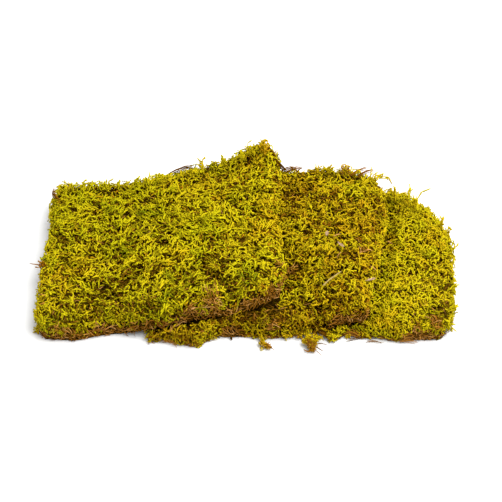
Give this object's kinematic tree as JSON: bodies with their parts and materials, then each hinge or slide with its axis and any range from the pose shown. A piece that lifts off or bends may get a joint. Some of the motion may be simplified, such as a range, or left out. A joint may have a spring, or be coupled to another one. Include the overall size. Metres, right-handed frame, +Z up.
{
  "type": "moss clump",
  "caption": "Heap of sheet-moss mats lapped like shingles: feathery yellow-green shoots over a thin brown thatch, with loose sprigs at the front and dry litter on top.",
  "frame": {"origin": "on the surface that the clump rests on, under the middle of its bounding box", "axes": "+X along the clump, from the upper mat at the left to the lower mat at the right; +Y to the back; +Z up"},
  "size_m": [0.2868, 0.1774, 0.0627],
  "materials": {
    "upper_moss": "matt living moss, green-yellow",
    "middle_moss": "matt living moss, yellow with an orange-brown tinge",
    "lower_moss": "matt living moss, bright yellow",
    "sprig": "matt, dry moss",
    "straw": "matt, dry straw",
    "dead_leaf": "matt, dead leaf"
  },
  "bodies": {
    "root": {"upper_mat": "upper_moss", "middle_mat": "middle_moss", "lower_mat": "lower_moss", "front_sprig": "sprig", "small_sprig": "sprig", "straw": "straw", "dead_leaf_1": "dead_leaf", "dead_leaf_2": "dead_leaf", "dead_leaf_3": "dead_leaf"}
  },
  "joints": []
}
